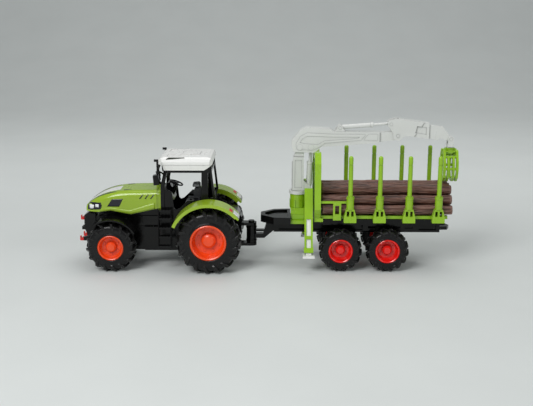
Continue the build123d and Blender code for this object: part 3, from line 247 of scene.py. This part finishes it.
GREEN = linear(146, 176, 34)
LIME = linear(142, 186, 28)
WHITE = linear(236, 236, 233)
CRANE = linear(214, 216, 212)
BLACK = linear(6, 6, 6)
mats = {
    "green_plastic": moulded("green_plastic", GREEN, 0.24, coat=0.35, drift=0.05, sheen_edge=1.25),
    "lime_paint": moulded("lime_paint", LIME, 0.3, coat=0.2, drift=0.06, sheen_edge=1.25),
    "black_plastic": moulded(
        "black_plastic", BLACK, 0.17, drift=0.16, edge_highlight=0.4, sheen_edge=3.0, shine=0.26, dusty=0.012
    ),
    "white_plastic": moulded(
        "white_plastic", WHITE, 0.3, drift=0.02, edge_highlight=0.1, sheen_edge=1.05, coat=0.2, crease=0.4
    ),
    "grey_plastic": moulded(
        "grey_plastic", CRANE, 0.32, drift=0.03, edge_highlight=0.1, sheen_edge=1.08, coat=0.15, crease=0.6
    ),
    "rim_orange": moulded("rim_orange", linear(238, 74, 20), 0.3, drift=0.07, coat=0.2, sheen_edge=1.3),
    "rim_red": moulded("rim_red", linear(228, 26, 18), 0.24, drift=0.08, coat=0.4, sheen_edge=1.3),
    "tyre_rubber": tyre_rubber("tyre_rubber"),
    "lens_clear": clear_lens("lens_clear"),
    "hook_red": moulded("hook_red", linear(206, 30, 24), 0.3, coat=0.2),
    "seat_vinyl": moulded(
        "seat_vinyl", linear(34, 35, 37), 0.5, grain=0.7, drift=0.1, edge_highlight=0.4, sheen_edge=2.2
    ),
    "bark_brown": bark("bark_brown"),
    "bright_steel": metal("bright_steel", linear(196, 196, 196), 0.26, 1),
    "pin_brass": metal("pin_brass", linear(206, 170, 92), 0.25, 1),
    "gear_nylon": moulded("gear_nylon", linear(232, 228, 212), 0.42, drift=0.03, edge_highlight=0.1, sheen_edge=1.05),
    "motor_can": metal("motor_can", linear(170, 171, 173), 0.3, 1),
    "cell_wrap": printed("cell_wrap", linear(40, 84, 150), linear(30, 66, 122), 900),
    "board_green": printed("board_green", linear(22, 92, 44), linear(16, 74, 36), 600, 0.4),
    "screw_zinc": metal("screw_zinc", linear(160, 162, 166), 0.32, 0),
}
BLUE_BLACK = printed("decal_dark", linear(14, 15, 24), linear(20, 22, 36), 800, 0.22)
SMOKE = printed("decal_smoke", linear(24, 30, 20), linear(46, 56, 30), 700, 0.2)
LAMP_RED = printed("lamp_red", linear(214, 40, 30), linear(190, 26, 22), 900, 0.15)
LAMP_WHITE = printed("lamp_white", linear(236, 234, 230), linear(220, 222, 224), 900, 0.15)
HEADREST = moulded("headrest_grey", linear(126, 128, 130), 0.45, grain=0.6)
MIRROR = metal("mirror_face", linear(214, 218, 222), 0.06, 2)

slot_of = {s["node"]: s["material_slot"] for s in frame["record"]["subparts"]}
for node, obj in frame["nodes"].items():
    obj.data.materials.clear()
    obj.data.materials.append(mats[slot_of[node]])


# ---------------------------------------------------------------- mesh helpers
def piece(name, verts, faces, material, body, smooth=False, stands_for=()):
    """A mesh object, points in millimetres of the row frame, riding on a body."""
    mesh = bpy.data.meshes.new(name)
    mesh.from_pydata([Vector(v) * MM for v in verts], [], faces)
    bm = bmesh.new()
    bm.from_mesh(mesh)
    bmesh.ops.recalc_face_normals(bm, faces=bm.faces)
    bm.to_mesh(mesh)
    bm.free()
    for p in mesh.polygons:
        p.use_smooth = smooth
    obj = bpy.data.objects.new(name, mesh)
    bpy.context.scene.collection.objects.link(obj)
    mesh.materials.append(material)
    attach(obj, body)
    if stands_for:
        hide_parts(*stands_for)
    return obj


# ---------------------------------------------------------------- tyres
def lathe(profile, centre, steps):
    """Closed ring about a cross axis; profile is (radius, y)."""
    verts, faces, m = [], [], len(profile)
    for i in range(steps):
        a = 2 * math.pi * i / steps
        for r, y in profile:
            verts.append((centre[0] + r * math.cos(a), y, centre[2] + r * math.sin(a)))
    for i in range(steps):
        for j in range(m):
            ahead, beside = (i + 1) % steps, (j + 1) % m
            faces.append((i * m + j, i * m + beside, ahead * m + beside, ahead * m + j))
    return verts, faces


def tyre_mesh(centre, radius, rim, width, lugs, lug, slant, middle):
    """Carcass and shoulder lugs of one tyre; the lugs bend over the shoulder down the side wall."""
    skin, half = radius - lug, width / 2
    side = [(rim + 0.02, 0.9), (rim + 0.4, 0.97), (rim + 1.2, 0.985), (rim + 1.9, 0.93)]
    wall = ((0.3, 0.90), (0.45, 0.915), (0.62, 0.90), (0.78, 0.87))
    side += [(rim + (skin - rim) * t, w) for t, w in wall]
    side += [(skin - 1.4, 0.80), (skin - 0.5, 0.70), (skin, 0.5), (skin + 0.1, 0.15)]
    profile = [(r, middle - half * w) for r, w in side]
    profile += [(r, middle + half * w) for r, w in reversed(side)]
    verts, faces = lathe(profile, centre, 96)
    count = len(faces)
    reach = skin - rim
    path = [  # share of half width, radius, outward direction (axial, radial), lug height, lug half width
        (-0.05, skin, 0.0, 1.0, lug, 0.050),
        (0.18, skin, 0.0, 1.0, lug, 0.052),
        (0.38, skin - 0.05, 0.0, 1.0, lug, 0.056),
        (0.56, skin - 0.2, 0.08, 1.0, lug, 0.062),
        (0.70, skin - 0.6, 0.25, 0.97, lug * 0.98, 0.068),
        (0.80, skin - 1.5, 0.6, 0.8, lug * 0.86, 0.074),
        (0.86, skin - 3.0, 0.9, 0.42, lug * 0.62, 0.078),
        (0.885, skin - 0.30 * reach, 1.0, 0.1, lug * 0.46, 0.080),
        (0.90, skin - 0.44 * reach, 1.0, 0.0, lug * 0.34, 0.076),
        (0.91, skin - 0.54 * reach, 1.0, 0.0, 0.05, 0.060),
    ]
    for i in range(lugs):
        for way in (-1, 1):
            turn = 2 * math.pi * (i + (0.5 if way > 0 else 0)) / lugs
            base = len(verts)
            for s, (w, r, ax, rad, tall, wide) in enumerate(path):
                lead = turn - slant * (s / 9) ** 0.8
                for depth, spread in zip(
                    (-0.9, tall - 0.5, tall, tall, tall - 0.5, -0.9), (-1.0, -0.78, -0.6, 0.6, 0.78, 1.0)
                ):
                    place = (w, r, ax, rad, depth, lead - wide * spread)
                    verts.append(lug_point(centre, middle, way, half, *place))
            stations = len(path)
            for s in range(stations - 1):
                for j in range(6):
                    k = (j + 1) % 6
                    a, b = base + s * 6, base + (s + 1) * 6
                    faces.append((a + j, a + k, b + k, b + j))
            faces.append(tuple(base + j for j in range(6)))
            faces.append(tuple(base + (stations - 1) * 6 + j for j in reversed(range(6))))
    return verts, faces, count


def lug_point(centre, middle, way, half, w, r, ax, rad, depth, angle):
    """Point of a lug at a depth along its outward direction; way picks the side of the tyre."""
    size = math.hypot(ax, rad)
    out = half * w + depth * ax / size
    reach = r + depth * rad / size
    y = middle + way * min(out, half * 0.995)
    return (centre[0] + reach * math.cos(angle), y, centre[2] + reach * math.sin(angle))


def tyres(name, body, nodes, places, radius, rim, width, lugs, lug, slant):
    """Tyres of one body as one piece; the slant of the lugs is in radians."""
    verts, faces, smooth_to = [], [], []
    for centre, middle in places:
        v, f, count = tyre_mesh(centre, radius, rim, width, lugs, lug, slant, middle)
        smooth_to.append((len(faces), len(faces) + count))
        faces += [tuple(i + len(verts) for i in face) for face in f]
        verts += v
    obj = piece(name, verts, faces, mats["tyre_rubber"], body, stands_for=nodes)
    for start, end in smooth_to:
        for i in range(start, end):
            obj.data.polygons[i].use_smooth = True
    return obj


def middle_of(node):
    """Middle of a CAD node's box."""
    low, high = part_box(node)
    return (low + high) / 2 / MM


for side, s in (("left", -1), ("right", 1)):
    c = middle_of(f"front_tyre_{side}")
    node, spot = [f"front_tyre_{side}"], [(c, s * FRONT_TRACK)]
    tyres(f"tread_front_{side}", f"front_wheel_{side}", node, spot, **FRONT_TYRE)
c = middle_of("rear_tyres")
tyres("tread_rear", "rear_axle", ["rear_tyres"], [(c, -REAR_TRACK), (c, REAR_TRACK)], **REAR_TYRE)
for where in ("front", "rear"):
    c = middle_of(f"wagon_{where}_tyres")
    node, spots = [f"wagon_{where}_tyres"], [(c, -WAGON_TRACK), (c, WAGON_TRACK)]
    tyres(f"tread_wagon_{where}", f"wagon_axle_{where}", node, spots, **WAGON_TYRE)


# ---------------------------------------------------------------- logs
def log_mesh(x0, x1, y, z, radius, seed):
    """One moulded log: furrowed bark, a few branch swellings, sawn ends."""
    around, along = 40, 110
    verts, faces = [], []
    knots = [(0.16, 0.6), (0.42, 2.9), (0.68, 5.0), (0.83, 1.6)]
    for i in range(along + 1):
        t = i / along
        x = x0 + (x1 - x0) * t
        for j in range(around):
            a = 2 * math.pi * j / around
            p = Vector((x * 0.035 + seed * 3.7, math.cos(a) * 1.5, math.sin(a) * 1.5))
            furrow = noise.fractal(Vector((p.x * 0.7, p.y * 2.4, p.z * 2.4)), 1.0, 2.0, 4)
            ridge = abs(noise.noise(Vector((p.x * 1.2, p.y * 3.0, p.z * 3.0))))
            r = radius - 0.62 + 0.55 * furrow - 0.85 * max(0.0, 0.15 - ridge) / 0.15
            for kt, ka in knots:
                d = ((t - kt) * 9) ** 2 + (((a - ka - seed + math.pi) % (2 * math.pi)) - math.pi) ** 2 * 1.3
                r += 0.7 * math.exp(-d * 3)
            if i in (0, along):
                r -= 0.35
            r = min(r, radius + 0.05)
            verts.append((x, y + r * math.cos(a), z + r * math.sin(a)))
    for i in range(along):
        for j in range(around):
            k = (j + 1) % around
            faces.append((i * around + j, i * around + k, (i + 1) * around + k, (i + 1) * around + j))
    for end in (0, along):
        last = [end * around + j for j in range(around)]
        for step in (0.72, 0.42, 0.14):
            ring = []
            for j in range(around):
                a = 2 * math.pi * j / around
                dip = 0.25 * math.sin(step * 40 + seed) * (1 if end else -1)
                x = x0 + dip if end == 0 else x1 + dip - 0.3
                verts.append((x, y + radius * step * math.cos(a), z + radius * step * math.sin(a)))
                ring.append(len(verts) - 1)
            for j in range(around):
                k = (j + 1) % around
                faces.append((last[j], last[k], ring[k], ring[j]))
            last = ring
        faces.append(tuple(last))
    return verts, faces


low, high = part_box("logs")
rise = math.sqrt(4 * LOG_R**2 - LOG_PITCH**2 / 4)
verts, faces = [], []
for row, count in enumerate(LOG_ROWS):
    for i in range(count):
        y = (i - (count - 1) / 2) * LOG_PITCH
        z = low.z / MM + LOG_R - LOG_GAP + rise * row
        v, f = log_mesh(low.x / MM, high.x / MM, y, z, LOG_R - LOG_GAP, row * 1.7 + i * 0.9)
        faces += [tuple(q + len(verts) for q in face) for face in f]
        verts += v
piece("log_load", verts, faces, mats["bark_brown"], "wagon", True, ["logs"])


# ---------------------------------------------------------------- prints and other skins on the hood
def surface(*nodes):
    """Ray-casting tree over CAD nodes, in metres."""
    verts, faces = [], []
    for node in nodes:
        mesh = frame["nodes"][node].data
        base = len(verts)
        verts += [v.co.copy() for v in mesh.vertices]
        faces += [tuple(i + base for i in p.vertices) for p in mesh.polygons]
    return BVHTree.FromPolygons(verts, faces)


def patch(name, rows, along, tree, material, body, lift=0.16, thick=0.5, fine=14):
    """A thin printed skin: rows of guide points (mm) laid on the surface along a direction."""

    def spread(points, n):
        out = []
        spans = len(points) - 1
        for i in range(n + 1):
            t = i / n * spans
            k = min(int(t), spans - 1)
            out.append(Vector(points[k]).lerp(Vector(points[k + 1]), t - k))
        return out

    n = fine * (len(rows[0]) - 1)
    rows = [spread(r, n) for r in rows]
    m = max(3, fine // 2) * (len(rows) - 1)
    columns = [spread([r[i] for r in rows], m) for i in range(n + 1)]
    way = Vector(along).normalized()
    verts, faces = [], []
    for column in columns:
        for p in column:
            hit, normal, _, _ = tree.ray_cast(p * MM - way * 0.08, way)
            if hit is None:
                hit, normal, _, _ = tree.find_nearest(p * MM)
            if normal.dot(way) > 0:
                normal = -normal
            verts.append((hit / MM + normal * lift, hit / MM - normal * (thick - lift)))
    flat = [v[0] for v in verts] + [v[1] for v in verts]
    total, w = len(verts), m + 1
    for i in range(n):
        for j in range(m):
            a, b, c2, d = i * w + j, (i + 1) * w + j, (i + 1) * w + j + 1, i * w + j + 1
            faces += [(a, b, c2, d), (a + total, d + total, c2 + total, b + total)]
    ring = [i * w for i in range(n + 1)] + [n * w + j for j in range(1, w)]
    ring += [i * w + m for i in range(n - 1, -1, -1)] + [j for j in range(m - 1, 0, -1)]
    for a, b in zip(ring, ring[1:] + ring[:1]):
        faces.append((a, a + total, b + total, b))
    return piece(name, flat, faces, material, body, True)


hood_skin = surface("hood", "lamp_lenses")
for side, s in (("left", -1), ("right", 1)):
    face = (0, -s, 0)
    edge = s * BESIDE
    flank = [[(-182, edge, 71.5), (-168, edge, 71.5)], [(-176, edge, 80.2), (-163.4, edge, 80.6)]]
    patch(f"vent_{side}", flank, face, hood_skin, BLUE_BLACK, "tractor")
    for i in range(3):
        x = -145 + 6.2 * i
        slit = [[(x, edge, 80.8), (x + 1.5, edge, 80.8)], [(x + 3.4, edge, 85.2), (x + 5.2, edge, 85.6)]]
        patch(f"slit_{side}_{i}", slit, face, hood_skin, BLUE_BLACK, "tractor", fine=6)
    down = (0, 0, -1)
    inner = ((-204.6, 6.4), (-197, 10.8), (-189, 13.6), (-181, 15.8), (-172, 18.2))
    outer = ((-203.6, 9.8), (-196, 14.6), (-188, 17.2), (-180, 18.6), (-171, 19.0))
    stripe = [[(x, s * y, ABOVE) for x, y in row] for row in (inner, outer)]
    patch(f"stripe_{side}", stripe, down, hood_skin, BLUE_BLACK, "tractor")
    corners = (((-163, 13.2), (-155, 14.4)), ((-163, 16.6), (-154.6, 15.0)))
    tick = [[(x, s * y, ABOVE) for x, y in row] for row in corners]
    patch(f"tick_{side}", tick, down, hood_skin, BLUE_BLACK, "tractor", fine=8)
    crease = ((-190, 68.0), (-178, 70.4), (-166, 68.6), (-155, 67.6), (-141, 72.0), (-127, 76.6))
    skirt = ((-190, 65.3), (-178, 67.4), (-166, 65.1), (-155, 63.4), (-141, 66.4), (-127, 69.3))
    sill = [[(x, edge, z) for x, z in row] for row in (crease, skirt)]
    green = mats["green_plastic"]
    patch(f"flank_{side}", sill, face, hood_skin, green, "tractor", 0.45, 0.8, 6)

# Pale strip down the middle of the hood, between the two dark stripes.
widths = ((-204.4, 3.2), (-196, 6.2), (-187, 8.4), (-177, 9.8), (-168, 9.0))
pale = [[(x, s * w, ABOVE) for x, w in widths] for s in (-1, 1)]
patch("stripe_pale", pale, (0, 0, -1), hood_skin, LAMP_WHITE, "tractor", 0.12)
for side, s in (("left", -1), ("right", 1)):
    edge = s * BESIDE
    rim_line = [[(-205.6, edge, 66.6), (-200, edge, 66.6), (-189.6, edge, 68.0)]]
    rim_line += [[(-205.0, edge, 74.0), (-199, edge, 75.4), (-188.8, edge, 75.8)]]
    face = (0, -s, 0)
    patch(f"lamp_surround_{side}", rim_line, face, surface("hood"), BLUE_BLACK, "tractor", 0.14)
    for k, (x0, x1, z0, z1) in enumerate(((-202.8, -198.3, 68.6, 72.2), (-195.6, -191.8, 70.2, 73.6))):
        eye = [[(x0, edge, z), (x1, edge, z)] for z in (z0, z1)]
        lens = mats["lens_clear"]
        patch(f"lamp_eye_{side}_{k}", eye, face, hood_skin, lens, "tractor", 0.4, 0.8, 8)
    dark = [(-112.2, 127.3), (-109.8, 129.4), (-91.8, 129.4), (-91.8, 128.7)]
    near, far = s * ROOF_SIDE, s * (ROOF_SIDE + 0.46)
    notch = [(x, near, z) for x, z in dark] + [(x, far, z) for x, z in dark]
    sides = [(0, 1, 2, 3), (7, 6, 5, 4)] + [(i, (i + 1) % 4, (i + 1) % 4 + 4, i + 4) for i in range(4)]
    piece(f"roof_notch_{side}", notch, sides, SMOKE, "tractor")


# ---------------------------------------------------------------- headrest, tail lamps, mirror faces
seat_skin = surface("driver_seat")
pad = [[(-110, y, z) for y in (-5.6, 5.6)] for z in (91.5, 94.0)]
patch("headrest_pad", pad, (1, 0, 0), seat_skin, HEADREST, "tractor", 0.3, 0.7)
for side, s in (("left", -1), ("right", 1)):
    cheek = [[(x, s * 20, z) for x in (-84.6, -78)] for z in (91.4, 93.8)]
    patch(f"headrest_cheek_{side}", cheek, (0, -s, 0), seat_skin, HEADREST, "tractor", 0.3, 0.7)

fender_skin = surface("rear_fenders")
mirror_skin = surface("mirrors")
towards = (-math.cos(math.radians(50)), 0, -math.sin(math.radians(50)))


def strip(s, angles, shares):
    """Guide points above the fender: angles round the axle, shares across the width."""
    x, z, r = *REAR_AXLE, FENDER_GUIDE
    ring = [(x + r * math.cos(math.radians(a)), z + r * math.sin(math.radians(a))) for a in angles]
    return [[(x, s * (FENDER_INSIDE + FENDER_WIDTH * q), z) for x, z in ring] for q in shares]


for side, s in (("left", -1), ("right", 1)):
    white = strip(s, (39.5, 50), (0.34, 0.86))
    red = strip(s, (51.5, 55.5), (0.5, 0.86))
    patch(f"tail_lamp_white_{side}", white, towards, fender_skin, LAMP_WHITE, "tractor", 0.4, 0.9)
    patch(f"tail_lamp_red_{side}", red, towards, fender_skin, LAMP_RED, "tractor", 0.4, 0.9)
    glass = [[(-100, s * 35.6, z), (-100, s * 39.6, z)] for z in (102.8, 110.2)]
    patch(f"mirror_face_{side}", glass, (-1, 0, 0), mirror_skin, MIRROR, "tractor", 0.15, 0.4)


# ---------------------------------------------------------------- stage, lights, camera
def sweep():
    """Floor that curves up into a wall far behind the toy."""
    line = [(-6, 0), (1.2, 0)]
    for step in range(5, 91, 5):
        a = math.radians(step)
        line.append((1.2 + 1.5 * math.sin(a), 1.5 - 1.5 * math.cos(a)))
    line.append((2.7, 6))
    verts = [(x, y, z - 0.0001) for y, z in line for x in (-9, 9)]
    faces = [(2 * i, 2 * i + 1, 2 * i + 3, 2 * i + 2) for i in range(len(line) - 1)]
    mesh = bpy.data.meshes.new("floor")
    mesh.from_pydata(verts, [], faces)
    mesh.polygons.foreach_set("use_smooth", [True] * len(faces))
    obj = bpy.data.objects.new("floor", mesh)
    bpy.context.scene.collection.objects.link(obj)
    return obj


ground = Nodes("studio_floor")
paper = ground.noise(9, 3.0)
ground.feed(Base_Color=ground.mix(paper, linear(208, 212, 210), linear(216, 220, 218)), Roughness=0.6)
sweep().data.materials.append(ground.mat)


def area(name, place, aim, size, power, tint=(1, 1, 1)):
    data = bpy.data.lights.new(name, "AREA")
    data.shape, data.size, data.energy, data.color = "SQUARE", size, power, tint
    obj = bpy.data.objects.new(name, data)
    obj.location = place
    obj.rotation_euler = (Vector(aim) - Vector(place)).to_track_quat("-Z", "Y").to_euler()
    bpy.context.scene.collection.objects.link(obj)


area("key", (-0.6, -1.0, 1.1), (0, 0, 0.05), 0.7, 13.5)
area("top", (0.2, 0.3, 1.35), (0, 0, 0.05), 1.1, 6)
area("fill", (1.2, -1.0, 0.7), (0, 0, 0.08), 0.9, 3)
area("back", (0.0, 0.9, 1.2), (0, 2.2, 0.3), 2.2, 5)
world = bpy.data.worlds.new("studio")
world.use_nodes = True
world.node_tree.nodes["Background"].inputs[0].default_value = (0.86, 0.88, 0.9, 1)
world.node_tree.nodes["Background"].inputs[1].default_value = 0.36
bpy.context.scene.world = world
bpy.context.scene.view_settings.view_transform = "Standard"

camera = bpy.data.objects.new("camera", bpy.data.cameras.new("camera"))
camera.data.lens, camera.data.sensor_width = 59.2, 36
camera.data.clip_start, camera.data.clip_end = 0.05, 50
camera.location = (0.013, -0.990, 0.316)
aim = Vector((-0.0004, 0, 0.0705))
camera.rotation_euler = (aim - camera.location).to_track_quat("-Z", "Y").to_euler()
bpy.context.scene.collection.objects.link(camera)
bpy.context.scene.camera = camera
